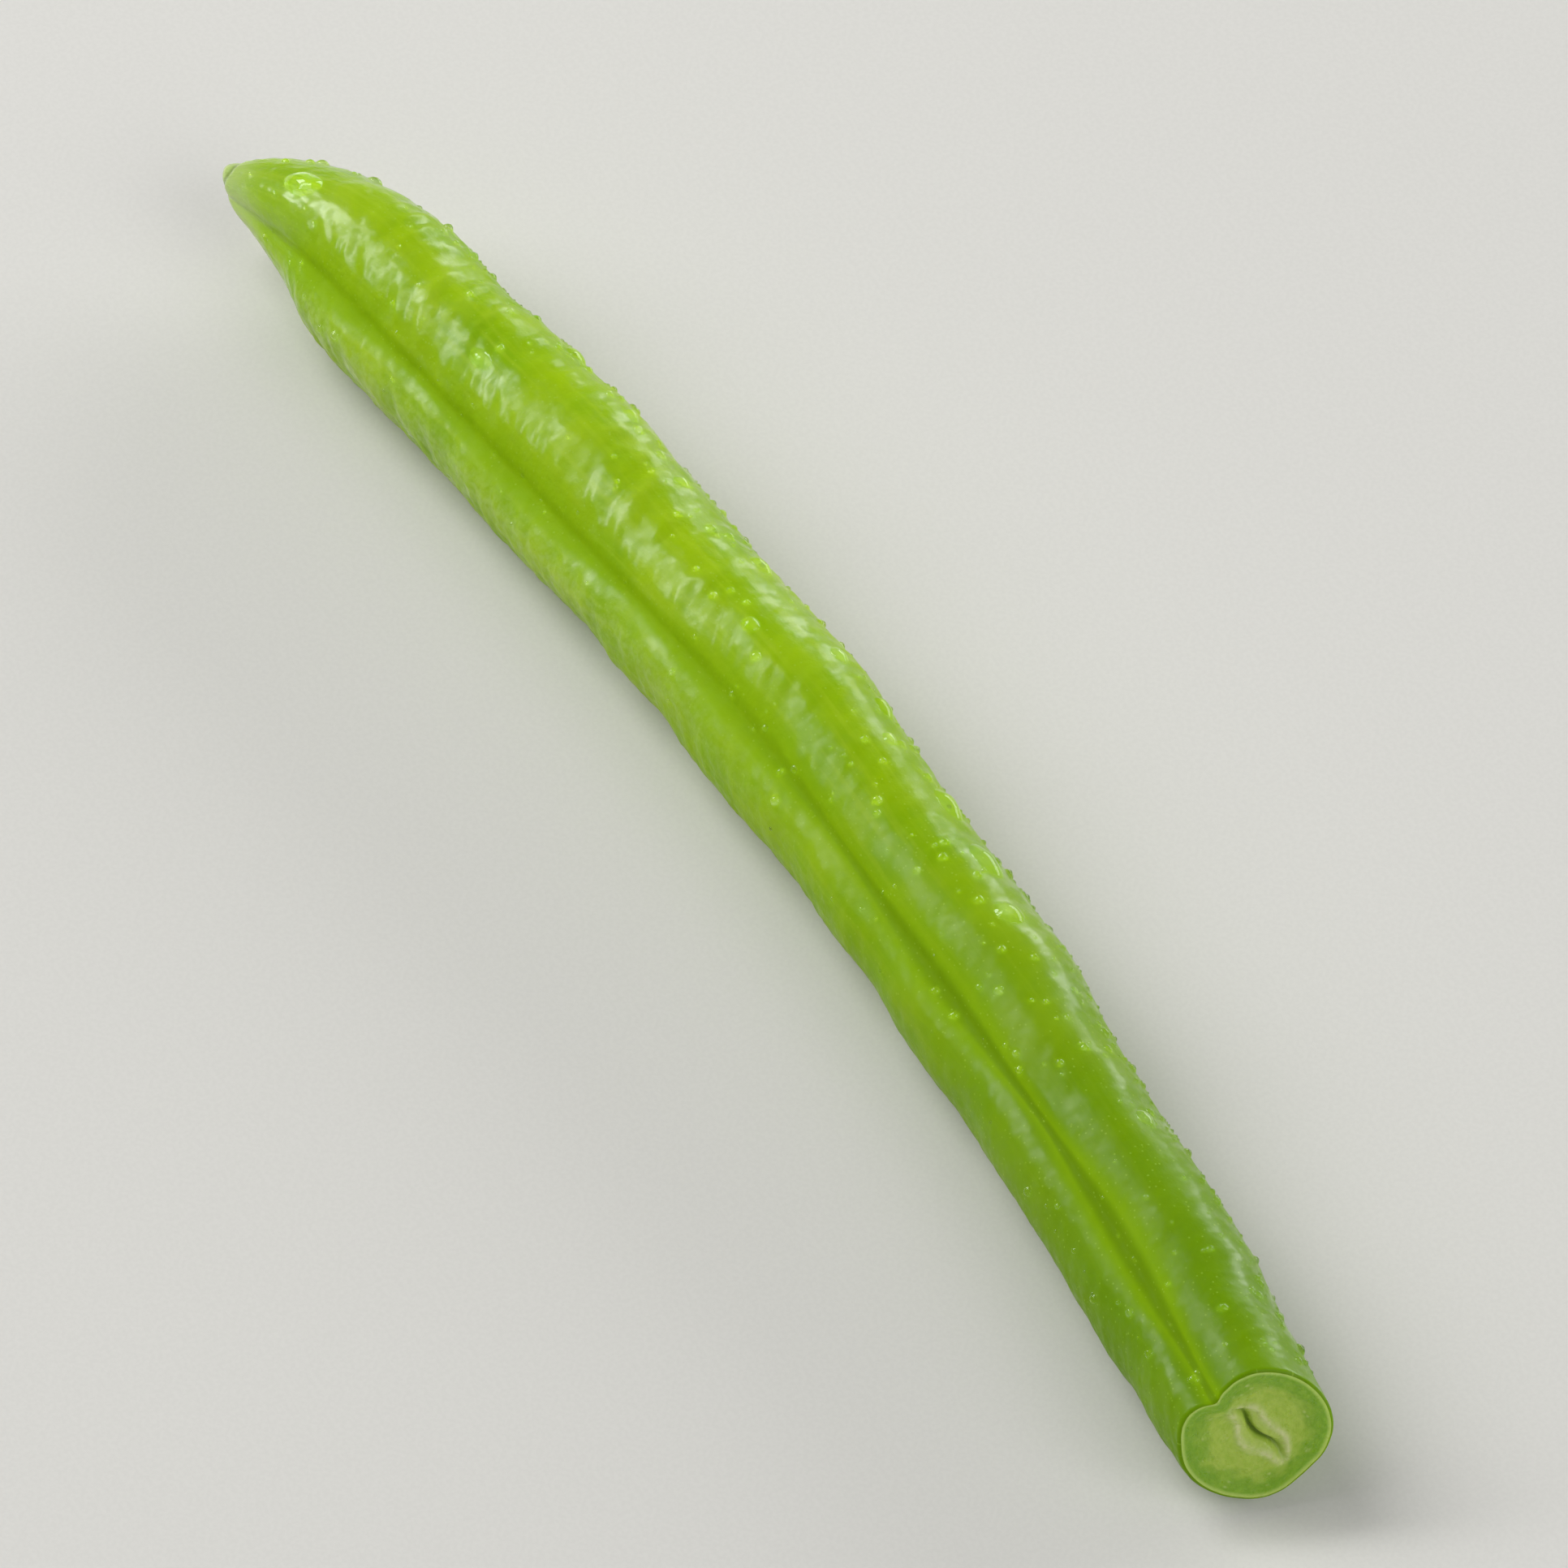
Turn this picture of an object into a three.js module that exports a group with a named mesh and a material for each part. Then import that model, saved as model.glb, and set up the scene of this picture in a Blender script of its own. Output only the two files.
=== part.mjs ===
// One trimmed green bean: a whole pod, grown as a single piece, lying on its side.
// Millimetres, +Z up. X runs along the pod, from the beak at -X to the trimmed stem end at +X.
// The pod bows towards +Y, and its seam, a soft groove between two lobes, faces up and towards -Y.
import * as THREE from "three";
import { LoftGeometry } from "three/addons/geometries/LoftGeometry.js";

// Driving dimensions of the pod
const POD_LENGTH = 98; // beak to trimmed end, measured straight
const POD_WIDTH = 9.2; // across the two lobes, where the pod is widest
const POD_DEPTH = 8.8; // from the seam to the back, before the seam is pressed in
const BOW = 4; // how far the middle stands out from the line between the ends
const PRESSED = 0.3; // how far the soft underside is flattened by lying on a surface

// The tip: a blunt wedge with its upper corner drawn out, and the shoulder where the pod swells from it
const BEAK_WIDTH = 1.9;
const BEAK_NOSE = 0.7; // length over which the end of the beak is rounded off
const BEAK_NOSE_START = 0.6; // share of the beak's width at its very end
const BEAK_SLANT = THREE.MathUtils.degToRad(40); // the upper corner of the beak reaches further out
const BEAK_SLANT_RUN = 10;
const SHOULDER_LENGTH = 12.8;
const SHOULDER_CURVE = 0.88; // below 1 the pod widens faster at first
const HOOK = 1.5; // how far the beak leans towards the hollow side of the bow
const DROOP = 0.4; // how far the beak hangs below the line of the pod's middle
const HOOK_LENGTH = 10; // length of the tip that leans and hangs

// The stem end: slightly thinner than the middle, and cut a little aslant
const WIDEST_AT = 30; // distance from the beak to the widest place
const STEM_END_THINNING = 0.14;
const THINNING_CURVE = 1.6;
const CUT_SLANT = THREE.MathUtils.degToRad(13);
const CUT_RUN = 12; // length over which the sections lean over to the slant of the cut
const STEM_END_LIFT = 0.9;
const STEM_LIFT_RUN = 18;

// The seam: a broad valley with a narrow crease along its middle, and a faint line along the back
const SEAM_TURN_AT_TIP = THREE.MathUtils.degToRad(65); // from straight up towards -Y
const SEAM_TURN_AT_STEM = THREE.MathUtils.degToRad(35);
const SEAM_WANDER = 0.06; // sideways wave of the seam, in radians around the pod
const SEAM_WANDER_PITCH = 37;
const VALLEY_DEPTH = 0.62;
const UPPER_VALLEY_SPREAD = 0.42; // in radians around the pod
const LOWER_VALLEY_SPREAD = 0.28; // the wall on the lower lobe is steeper
const CREASE_DEPTH = 0.24;
const CREASE_SPREAD = 0.13;
const BACK_LINE_DEPTH = 0.2;
const BACK_LINE_SPREAD = 0.3;

// The swellings: wide places where the seeds press out the two lobes
const SWELL_PITCH = 19.8; // from one wide place to the next
const SWELL_START = 7.5; // the first wide place
const UPPER_SWELL = 0.25;
const LOWER_SWELL = 0.13;
const SEED_SWELL = 0.04; // what shows of each single seed, two to a wide place

// How finely the skin is divided, along and around
const SECTION_COUNT = 96;
const SIDES = 28;
const END_CROWDING = 0.45; // from 0, evenly spaced sections, towards 1, crowded at the two ends
const SEAM_CROWDING = 0.3; // the same for the points around a section, crowded at the seam

const TANGENT_STEP = 0.01; // distance over which the direction of the pod is read

const UP = new THREE.Vector3(0, 0, 1);

// 1 in the middle, falling smoothly to nothing on both sides
function bellCurve(offset, spread) {
  return Math.exp(-((offset / spread) ** 2));
}

// Share of the full width that the pod has past its shoulder: it thins out towards the stem
function thinning(along) {
  const past = Math.max(0, (along - WIDEST_AT) / (POD_LENGTH - WIDEST_AT));
  return 1 - STEM_END_THINNING * past ** THINNING_CURVE;
}

// Share of the full width that the pod has on its shoulder: it swells out of the beak
function shoulder(along) {
  const beakShare = BEAK_WIDTH / POD_WIDTH;
  const reach = THREE.MathUtils.clamp(along / SHOULDER_LENGTH, 0, 1);
  return beakShare + (1 - beakShare) * Math.sin((reach * Math.PI) / 2) ** SHOULDER_CURVE;
}

// Share of the beak's width that is left where its end is rounded off
function noseRounding(along) {
  const toEnd = THREE.MathUtils.clamp(1 - along / BEAK_NOSE, 0, 1);
  return BEAK_NOSE_START + (1 - BEAK_NOSE_START) * Math.sqrt(1 - toEnd ** 2);
}

// Angle of the seam from straight up, turning slowly along the pod
function seamTurn(along) {
  const turn = THREE.MathUtils.lerp(SEAM_TURN_AT_TIP, SEAM_TURN_AT_STEM, along / POD_LENGTH);
  const wander = SEAM_WANDER * Math.sin((2 * Math.PI * along) / SEAM_WANDER_PITCH);
  return turn - wander;
}

// Middle of the pod's section: an arch in plan with a leaning tip, low enough to press the underside flat
function podAxis(along) {
  const fromMiddle = (2 * along) / POD_LENGTH - 1;
  const tip = Math.max(0, 1 - along / HOOK_LENGTH) ** 2;
  const stem = Math.max(0, 1 - (POD_LENGTH - along) / STEM_LIFT_RUN) ** 2;
  const turn = seamTurn(along);
  const halfHeight = 0.5 * Math.hypot(POD_DEPTH * Math.cos(turn), POD_WIDTH * Math.sin(turn));
  return new THREE.Vector3(
    along - POD_LENGTH / 2,
    BOW * (1 - fromMiddle ** 2) - HOOK * tip,
    halfHeight * thinning(along) - PRESSED - DROOP * tip + STEM_END_LIFT * stem,
  );
}

// Distance from the pod's middle to its skin, at an angle around it: 0 on the seam, then down the lower lobe,
// half a turn on the back, and up the upper lobe. An oval, less the seam and the back's line, plus the seeds
function skinRadius(along, around) {
  const size = thinning(along) * shoulder(along) * noseRounding(along);
  const depthPart = Math.cos(around) / (POD_DEPTH / 2);
  const widthPart = Math.sin(around) / (POD_WIDTH / 2);
  const oval = 1 / Math.hypot(depthPart, widthPart);
  const fromSeam = Math.min(around, 2 * Math.PI - around);
  const valleySpread = around > Math.PI ? UPPER_VALLEY_SPREAD : LOWER_VALLEY_SPREAD;
  const valley = VALLEY_DEPTH * bellCurve(fromSeam, valleySpread);
  const crease = CREASE_DEPTH * bellCurve(fromSeam, CREASE_SPREAD);
  const backLine = BACK_LINE_DEPTH * bellCurve(Math.PI - fromSeam, BACK_LINE_SPREAD);
  const swellAngle = (2 * Math.PI * (along - SWELL_START)) / SWELL_PITCH;
  const lobeSwell = around > Math.PI ? UPPER_SWELL : LOWER_SWELL;
  const swell = lobeSwell * Math.cos(swellAngle) + SEED_SWELL * Math.cos(2 * swellAngle);
  return size * (oval - valley - crease - backLine + swell * Math.sin(around) ** 2);
}

// One closed ring of skin points, square to the pod except where it leans to the slant of the beak or the cut
function podSection(along) {
  const middle = podAxis(along);
  const forward = podAxis(along + TANGENT_STEP).sub(podAxis(along - TANGENT_STEP)).normalize();
  const sideways = new THREE.Vector3().crossVectors(UP, forward).normalize();
  const upright = new THREE.Vector3().crossVectors(forward, sideways);
  const turn = seamTurn(along);
  const toSeam = upright.clone().applyAxisAngle(forward, turn);
  const toLowerLobe = sideways.clone().negate().applyAxisAngle(forward, turn);
  const cutLean = Math.tan(CUT_SLANT) * THREE.MathUtils.smoothstep(along, POD_LENGTH - CUT_RUN, POD_LENGTH);
  const beakLean = Math.tan(BEAK_SLANT) * (1 - THREE.MathUtils.smoothstep(along, 0, BEAK_SLANT_RUN));
  const ring = [];
  for (let side = 0; side < SIDES; side++) {
    const even = (2 * Math.PI * side) / SIDES;
    const around = even - SEAM_CROWDING * Math.sin(even);
    const radius = skinRadius(along, around);
    const seamward = radius * Math.cos(around);
    const downward = radius * Math.sin(around);
    const point = middle.clone();
    point.addScaledVector(toSeam, seamward);
    point.addScaledVector(toLowerLobe, downward);
    point.addScaledVector(forward, beakLean * downward - cutLean * seamward);
    point.z = Math.max(0, point.z);
    ring.push(point);
  }
  return ring;
}

// The pod's skin is drawn over the rings and closed at the beak and the cut, then centred over the origin
function makePod() {
  const rings = [];
  for (let section = 0; section < SECTION_COUNT; section++) {
    const even = section / (SECTION_COUNT - 1);
    const crowded = even - (END_CROWDING * Math.sin(2 * Math.PI * even)) / (2 * Math.PI);
    rings.push(podSection(crowded * POD_LENGTH));
  }
  const geometry = new LoftGeometry(rings, { capStart: true, capEnd: true });
  geometry.computeBoundingBox();
  const middle = geometry.boundingBox.getCenter(new THREE.Vector3());
  geometry.translate(-middle.x, -middle.y, 0);
  const skin = new THREE.MeshStandardMaterial({ color: 0x86ab14, roughness: 0.32, metalness: 0 });
  const pod = new THREE.Mesh(geometry, skin);
  pod.name = "bean_pod";
  return pod;
}

const greenBean = new THREE.Group();
greenBean.add(makePod());

export default greenBean;
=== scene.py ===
import math

import bpy
import numpy as np
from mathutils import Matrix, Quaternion, Vector


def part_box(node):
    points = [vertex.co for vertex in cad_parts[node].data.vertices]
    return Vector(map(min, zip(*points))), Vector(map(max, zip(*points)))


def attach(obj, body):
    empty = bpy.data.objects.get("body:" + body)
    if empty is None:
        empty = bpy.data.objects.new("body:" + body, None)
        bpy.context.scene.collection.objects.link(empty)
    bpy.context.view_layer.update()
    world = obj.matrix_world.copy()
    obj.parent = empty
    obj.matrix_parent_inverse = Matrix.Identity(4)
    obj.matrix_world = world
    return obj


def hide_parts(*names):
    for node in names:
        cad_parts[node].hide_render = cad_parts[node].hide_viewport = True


# The solid bean that everything here is built around, and the box that it fills
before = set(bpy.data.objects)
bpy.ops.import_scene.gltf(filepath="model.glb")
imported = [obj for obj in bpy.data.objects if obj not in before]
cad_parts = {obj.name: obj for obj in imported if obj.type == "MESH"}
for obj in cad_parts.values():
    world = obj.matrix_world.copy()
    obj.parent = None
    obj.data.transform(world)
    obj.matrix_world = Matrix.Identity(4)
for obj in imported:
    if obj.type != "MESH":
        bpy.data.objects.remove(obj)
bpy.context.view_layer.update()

# The pod: the whole fruit of the bean plant, grown in one piece, blanched and still wet.
# A thin glossy skin over juicy flesh, with a seam sunk between two lobes and seeds that press them out.
# The beak is at -X. The stem end at +X was trimmed with a knife, so pale flesh shows there.
MM = 0.001

# Its form, with the sizes of the solid: in millimetres, counted along the pod from the beak, and in radians
POD_LENGTH = 98.0
POD_WIDTH = 9.2
POD_DEPTH = 8.8
BOW = 4.0
PRESSED = 0.3

# The beak, the shoulder behind it, and how the tip leans
BEAK_WIDTH = 1.9
BEAK_NOSE = 0.7
BEAK_NOSE_START = 0.6
BEAK_SLANT = math.radians(40)
BEAK_SLANT_RUN = 10.0
SHOULDER_LENGTH = 12.8
SHOULDER_CURVE = 0.88
HOOK = 1.5
DROOP = 0.4
HOOK_LENGTH = 10.0

# The stem end: thinner than the middle, lifted a little, and cut aslant
WIDEST_AT = 30.0
STEM_END_THINNING = 0.14
THINNING_CURVE = 1.6
CUT_SLANT = math.radians(13)
CUT_RUN = 12.0
STEM_END_LIFT = 0.9
STEM_LIFT_RUN = 18.0

# The seam, a valley with a crease along its middle, and the faint line along the back
SEAM_TURN_AT_TIP = math.radians(65)
SEAM_TURN_AT_STEM = math.radians(35)
SEAM_WANDER = 0.06
SEAM_WANDER_PITCH = 37.0
VALLEY_DEPTH = 0.62
UPPER_VALLEY_SPREAD = 0.42
LOWER_VALLEY_SPREAD = 0.28
CREASE_DEPTH = 0.24
CREASE_SPREAD = 0.13
BACK_LINE_DEPTH = 0.2
BACK_LINE_SPREAD = 0.3

# The swellings where the seeds press out the two lobes
SWELL_PITCH = 19.8
SWELL_START = 7.5
UPPER_SWELL = 0.25
LOWER_SWELL = 0.13
SEED_SWELL = 0.04

# Distance along the pod over which its direction is read
TANGENT_STEP = 0.01


def smooth_step(value, start, end):
    """0 before start, 1 after end, and between them the curve 3t^2 - 2t^3."""
    share = np.clip((value - start) / (end - start), 0, 1)
    return share * share * (3 - 2 * share)


def bell(offset, spread):
    """exp(-(offset / spread)^2): 1 in the middle, falling smoothly to nothing on both sides."""
    return np.exp(-((offset / spread) ** 2))


def thinning(along):
    """Share of the full width past the shoulder: 1, less a power of the way from the widest place on."""
    past = np.maximum(0, (along - WIDEST_AT) / (POD_LENGTH - WIDEST_AT))
    return 1 - STEM_END_THINNING * past**THINNING_CURVE


def shoulder(along):
    """Share of the full width near the tip: from the beak's share to 1, by a power of a quarter sine."""
    beak_share = BEAK_WIDTH / POD_WIDTH
    reach = np.clip(along / SHOULDER_LENGTH, 0, 1)
    return beak_share + (1 - beak_share) * np.sin(reach * np.pi / 2) ** SHOULDER_CURVE


def nose_rounding(along):
    """Share of the beak's width left at its end: a quarter circle down to the width of the end face."""
    to_end = np.clip(1 - along / BEAK_NOSE, 0, 1)
    return BEAK_NOSE_START + (1 - BEAK_NOSE_START) * np.sqrt(1 - to_end**2)


def seam_turn(along):
    """Angle of the seam from straight up towards -Y: a straight run from tip to stem, less a slow sine."""
    turn = SEAM_TURN_AT_TIP + (SEAM_TURN_AT_STEM - SEAM_TURN_AT_TIP) * along / POD_LENGTH
    return turn - SEAM_WANDER * np.sin(2 * np.pi * along / SEAM_WANDER_PITCH)


def pod_axis(along):
    """Middle line of the pod: a parabola in plan, with a leaning tip and a lifted stem end."""
    from_middle = 2 * along / POD_LENGTH - 1
    tip = np.maximum(0, 1 - along / HOOK_LENGTH) ** 2
    stem = np.maximum(0, 1 - (POD_LENGTH - along) / STEM_LIFT_RUN) ** 2
    turn = seam_turn(along)
    half_height = 0.5 * np.hypot(POD_DEPTH * np.cos(turn), POD_WIDTH * np.sin(turn))
    across = BOW * (1 - from_middle**2) - HOOK * tip
    height = half_height * thinning(along) - PRESSED - DROOP * tip + STEM_END_LIFT * stem
    return np.stack([along - POD_LENGTH / 2, across, height], axis=-1)


def unit(vectors):
    """Each vector divided by its length."""
    return vectors / np.linalg.norm(vectors, axis=-1, keepdims=True)


def pod_directions(along):
    """Three directions of a section: along the pod, from its middle to the seam, and to the lower lobe."""
    forward = unit(pod_axis(along + TANGENT_STEP) - pod_axis(along - TANGENT_STEP))
    sideways = unit(np.cross(np.array([0.0, 0.0, 1.0]), forward))
    upright = np.cross(forward, sideways)
    cosine = np.cos(seam_turn(along))[..., None]
    sine = np.sin(seam_turn(along))[..., None]
    to_seam = upright * cosine - sideways * sine
    to_lower_lobe = -upright * sine - sideways * cosine
    return forward, to_seam, to_lower_lobe


# Cells after which the noise comes round again, along the pod and across it
NOISE_CELLS = np.array([256, 32, 32])


def lattice_noise(places, seed):
    """Soft bumps about one unit across: a random slope on each corner of a cubic lattice, and in each cell
    the eight slopes' heights, blended by the curve 6t^5 - 15t^4 + 10t^3 of the place in the cell."""
    corner = np.floor(places).astype(int)
    inside = places - corner
    slopes = unit(np.random.default_rng(seed).normal(size=(*NOISE_CELLS, 3)))
    blend = inside**3 * (inside * (inside * 6 - 15) + 10)
    total = np.zeros(places.shape[:-1])
    for offset in np.ndindex(2, 2, 2):
        near = np.array(offset)
        reached = np.mod(corner + near, NOISE_CELLS)
        slope = slopes[reached[..., 0], reached[..., 1], reached[..., 2]]
        height = ((inside - near) * slope).sum(axis=-1)
        weight = np.where(near == 1, blend, 1 - blend).prod(axis=-1)
        total += height * weight
    return total


# The unevenness of the soft skin, in millimetres: slack lumps of the flesh, the puckers that blanching
# leaves, and a fine grain. The puckers run round the pod on a slant and begin behind the tip. Puckers and
# grain are weaker in the seam and towards the stem end, and all of it fades out at the beak
SKIN_REACH = 4.5
LUMP_SIZE = 4.2
LUMP_HEIGHT = 0.28
PUCKER_LENGTH = 0.85
PUCKER_BREADTH = 2.3
PUCKER_SLANT = 0.6
PUCKER_HEIGHT = 0.18
PUCKERS_FROM = 2.0
PUCKERS_TO = 11.0
GRAIN_SIZE = 0.45
GRAIN_HEIGHT = 0.05
SMOOTH_FROM = 32.0
SMOOTH_TO = 72.0
SMOOTH_SHARE = 0.38
SEAM_SMOOTHING = 0.65
TIP_FADE = 2.5
LUMP_SEED, PUCKER_SEED, GRAIN_SEED = 11, 12, 13


def skin_place(along, around):
    """Where a point of the skin lies on a straight round pod, so that patterns close up around it."""
    along, around = np.broadcast_arrays(along, around)
    return np.stack([along, SKIN_REACH * np.cos(around), SKIN_REACH * np.sin(around)], axis=-1)


def from_seam(around):
    """Angle to the seam, the shorter way round."""
    return np.pi - np.abs(np.pi - np.mod(around, 2 * np.pi))


def valley_spread(around):
    """Breadth of the seam's valley: its wall on the lower lobe is the steeper one."""
    return np.where(np.mod(around, 2 * np.pi) > np.pi, UPPER_VALLEY_SPREAD, LOWER_VALLEY_SPREAD)


def skin_relief(along, around):
    """Height of the uneven skin above the smooth pod: three sizes of lattice noise, added up. The cells of
    the puckers are short along the pod and long round it, and are slid along it by a share of the place
    across it."""
    place = skin_place(along, around)
    slanted = place - place[..., 2:] * np.array([PUCKER_SLANT, 0, 0])
    pucker_cell = np.array([PUCKER_LENGTH, PUCKER_BREADTH, PUCKER_BREADTH])
    lumps = LUMP_HEIGHT * lattice_noise(place / LUMP_SIZE, LUMP_SEED)
    puckers = PUCKER_HEIGHT * lattice_noise(slanted / pucker_cell, PUCKER_SEED)
    puckers = puckers * smooth_step(along, PUCKERS_FROM, PUCKERS_TO)
    fine_grain = GRAIN_HEIGHT * lattice_noise(place / GRAIN_SIZE, GRAIN_SEED)
    taut = 1 - (1 - SMOOTH_SHARE) * smooth_step(along, SMOOTH_FROM, SMOOTH_TO)
    loose = 1 - SEAM_SMOOTHING * bell(from_seam(around), valley_spread(around))
    return (lumps + (puckers + fine_grain) * taut * loose) * smooth_step(along, 0, TIP_FADE)


def swell_phase(along):
    """Angle that makes a full turn from one swelling to the next, and is 0 at the first."""
    return 2 * np.pi * (along - SWELL_START) / SWELL_PITCH


def skin_radius(along, around):
    """From the pod's middle to the smooth skin: an oval, less the seam's valley and crease and the back's
    line, plus the swelling of the two lobes over the seeds."""
    around = np.mod(around, 2 * np.pi)
    size = thinning(along) * shoulder(along) * nose_rounding(along)
    oval = 1 / np.hypot(np.cos(around) / (POD_DEPTH / 2), np.sin(around) / (POD_WIDTH / 2))
    valley = VALLEY_DEPTH * bell(from_seam(around), valley_spread(around))
    crease = CREASE_DEPTH * bell(from_seam(around), CREASE_SPREAD)
    back_line = BACK_LINE_DEPTH * bell(np.pi - from_seam(around), BACK_LINE_SPREAD)
    lobe_swell = np.where(around > np.pi, UPPER_SWELL, LOWER_SWELL)
    phase = swell_phase(along)
    swell = lobe_swell * np.cos(phase) + SEED_SWELL * np.cos(2 * phase)
    return size * (oval - valley - crease - back_line + swell * np.sin(around) ** 2)


def pod_point(along, around, radius, ahead=0.0):
    """A point of the pod, at a distance from its middle line along a direction around it. Sections lean over
    towards the slant of the beak and of the cut, and ahead moves the point along the pod."""
    along, around, radius = np.broadcast_arrays(along, around, radius)
    forward, to_seam, to_lower_lobe = pod_directions(along)
    seamward = radius * np.cos(around)
    downward = radius * np.sin(around)
    cut_lean = np.tan(CUT_SLANT) * smooth_step(along, POD_LENGTH - CUT_RUN, POD_LENGTH)
    beak_lean = np.tan(BEAK_SLANT) * (1 - smooth_step(along, 0, BEAK_SLANT_RUN))
    lean = beak_lean * downward - cut_lean * seamward + ahead
    point = pod_axis(along) + to_seam * seamward[..., None] + to_lower_lobe * downward[..., None]
    return point + forward * lean[..., None]


def skin_point(along, around):
    """A point of the uneven skin."""
    return pod_point(along, around, skin_radius(along, around) + skin_relief(along, around))


# The rows of the pod's mesh run from the middle of the beak's end, along the skin, round the edge of the
# cut, and over the cut to its middle. The skin's rows crowd at its two ends, and the columns at the seam
SKIN_ROWS = 590
COLUMNS = 150
END_CROWDING = 0.62
SEAM_CROWDING = 0.25
EDGE_RADIUS = 0.16

even_columns = 2 * np.pi * np.arange(COLUMNS) / COLUMNS
around = (even_columns - SEAM_CROWDING * np.sin(even_columns))[None, :]
even_rows = np.linspace(0, 1, SKIN_ROWS)
crowded_rows = even_rows - END_CROWDING * np.sin(2 * np.pi * even_rows) / (2 * np.pi)
skin_along = (crowded_rows * (POD_LENGTH - EDGE_RADIUS))[:, None]
skin_rows = skin_point(skin_along, around)

# The end of the beak: a small face with the stub of the flower on its upper corner, set off by a crease.
# Its height over the beak is a bell of the distance from its middle, less a ring-shaped bell for the crease
BEAK_FACE_ROWS = 7
NUB_AT = 0.25
NUB_SIDE = 1.5 * math.pi
NUB_ROOT = 2.5
NUB_SPREAD = 0.6
NUB_HEIGHT = 0.18
NUB_CREASE_AT = 0.95
NUB_CREASE_SPREAD = 0.2
NUB_CREASE_DEPTH = 0.09

beak_share = np.linspace(0, 1, BEAK_FACE_ROWS, endpoint=False)[:, None]
beak_rows = pod_point(0.0, around, beak_share * skin_radius(np.zeros((1, 1)), around))
tip_rows = np.concatenate([beak_rows, skin_rows])
nub_middle = skin_point(np.array(NUB_AT), np.array(NUB_SIDE))
nub_outward = unit(nub_middle - pod_axis(np.array(NUB_ROOT)))
from_nub = np.linalg.norm(tip_rows - nub_middle, axis=-1)
nub_mark = bell(from_nub, NUB_SPREAD)
nub_crease = bell(from_nub - NUB_CREASE_AT, NUB_CREASE_SPREAD)
tip_rows += nub_outward * (NUB_HEIGHT * nub_mark - NUB_CREASE_DEPTH * nub_crease)[..., None]

# The cut: a rounded edge of skin, then a shallow dish with a rough face. In its middle the seed chamber
# begins: a narrow slit that wanders, between two raised linings which meet at its ends
EDGE_ROWS = 6
CUT_ROWS = 30
CUT_DISH = 0.34
CUT_ROUGHNESS = 0.12
CUT_GRAIN = 0.8
CUT_RIM_POWER = 6
CUT_SEED = 14
CHAMBER_LENGTH = 2.3
CHAMBER_BREADTH = 0.85
CHAMBER_OFF = -0.25
CHAMBER_WANDER = 1.1
CHAMBER_WANDER_PITCH = 2.0
CHAMBER_EDGE = (-0.1, 0.2)
SLIT_BREADTH = 0.16
SLIT_DEPTH = 0.5
LINING_BREADTH = 0.2
LINING_HEIGHT = 0.1
LINING_FADE = 0.3

edge_angle = np.linspace(0, np.pi / 2, EDGE_ROWS + 1)[1:, None]
edge_radius = skin_radius(POD_LENGTH, around) + skin_relief(POD_LENGTH, around)
edge_inset = EDGE_RADIUS * (1 - np.cos(edge_angle))
edge_ahead = EDGE_RADIUS * (np.sin(edge_angle) - 1)
edge_rows = pod_point(POD_LENGTH, around, edge_radius - edge_inset, edge_ahead)

cut_share = np.linspace(1, 0, CUT_ROWS + 1)[1:, None]
cut_radius = cut_share * (edge_radius - EDGE_RADIUS)
cut_seamward = cut_radius * np.cos(around)
cut_sideways = cut_radius * np.sin(around)
cut_place = np.stack([cut_seamward, cut_sideways, np.zeros_like(cut_radius)], axis=-1)
wander_place = cut_place * np.array([1, 0, 0]) / CHAMBER_WANDER_PITCH
wandering = cut_sideways + CHAMBER_WANDER * lattice_noise(wander_place, CUT_SEED)
off_slit = np.abs(wandering)
chamber_reach = np.clip(1 - ((cut_seamward - CHAMBER_OFF) / CHAMBER_LENGTH) ** 2, 0, 1)
chamber_half = CHAMBER_BREADTH * chamber_reach
slit = bell(wandering, SLIT_BREADTH) * chamber_reach
lining = bell(off_slit - chamber_half, LINING_BREADTH) * smooth_step(chamber_reach, 0, LINING_FADE)
chamber = smooth_step(chamber_half - off_slit, *CHAMBER_EDGE)
cut_grain = CUT_ROUGHNESS * lattice_noise(cut_place / CUT_GRAIN, CUT_SEED)
cut_depth = CUT_DISH * (1 - cut_share**2) + SLIT_DEPTH * slit - LINING_HEIGHT * lining
cut_ahead = cut_grain * (1 - cut_share**CUT_RIM_POWER) - cut_depth
cut_rows = pod_point(POD_LENGTH, around, cut_radius, cut_ahead)

pod_rows = np.concatenate([tip_rows, edge_rows, cut_rows])

# The soft underside is pressed flat where it lies: heights below the surface become nearly nothing, by the
# curve (z + sqrt(z^2 + 4k^2)) / 2, so that the flat runs softly into the round of the pod
PRESS_SOFTNESS = 0.12
height = pod_rows[..., 2]
pod_rows[..., 2] = (height + np.sqrt(height**2 + 4 * PRESS_SOFTNESS**2)) / 2
pod_rows[..., 2] -= pod_rows[..., 2].min()


def add_object(name, data):
    """A new object, put into the scene."""
    added = bpy.data.objects.new(name, data)
    bpy.context.scene.collection.objects.link(added)
    return added


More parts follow.
